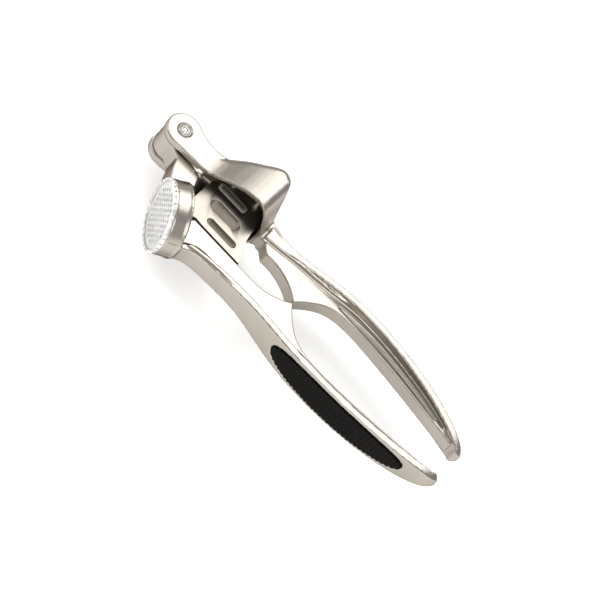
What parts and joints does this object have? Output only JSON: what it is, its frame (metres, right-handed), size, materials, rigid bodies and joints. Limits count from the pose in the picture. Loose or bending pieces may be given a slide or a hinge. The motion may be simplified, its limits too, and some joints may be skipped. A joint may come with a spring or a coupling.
{
  "type": "garlic press",
  "caption": "Hand-held cast garlic press, shown closed, with a round sieve basket, a hooded plunger, a nutcracker gap between its webs and ribbed grips.",
  "frame": {"origin": "on the pivot axis, at the outer face of the lower pivot cheek", "axes": "+X along the closed handles, away from the pivot; +Z along the pivot axis, up when the press lies on its side; +Y from the lower lever towards the upper lever"},
  "size_m": [0.1828, 0.0661, 0.0332],
  "materials": {
    "cast_lever": "satin pearl-nickel finish on a smooth casting",
    "pin_steel": "turned and riveted",
    "washer_steel": "thin ground washer",
    "bush_plastic": "natural acetal",
    "sieve_steel": "bright stainless",
    "grip_rubber": "matt, finely ribbed across"
  },
  "bodies": {
    "lower_handle_body": {"lower_lever": "cast_lever", "pivot_bush": "bush_plastic", "sieve": "sieve_steel", "sieve_ring": "sieve_steel", "lower_grip": "grip_rubber"},
    "upper_handle_body": {"upper_lever": "cast_lever", "plunger_plate": "cast_lever", "plunger_stem": "cast_lever", "stem_pins": "pin_steel", "plunger_screw": "pin_steel", "upper_grip": "grip_rubber", "pivot_pin": "pin_steel", "pin_collar": "pin_steel", "thrust_washer_upper": "washer_steel", "thrust_washer_lower": "washer_steel"}
  },
  "joints": [
    {"name": "lever_hinge", "type": "hinge", "parent": "lower_handle_body", "child": "upper_handle_body", "pos_m": [0, 0, 0.0096], "axis": [0, 0, 1], "range_deg": [0, 140]}
  ]
}
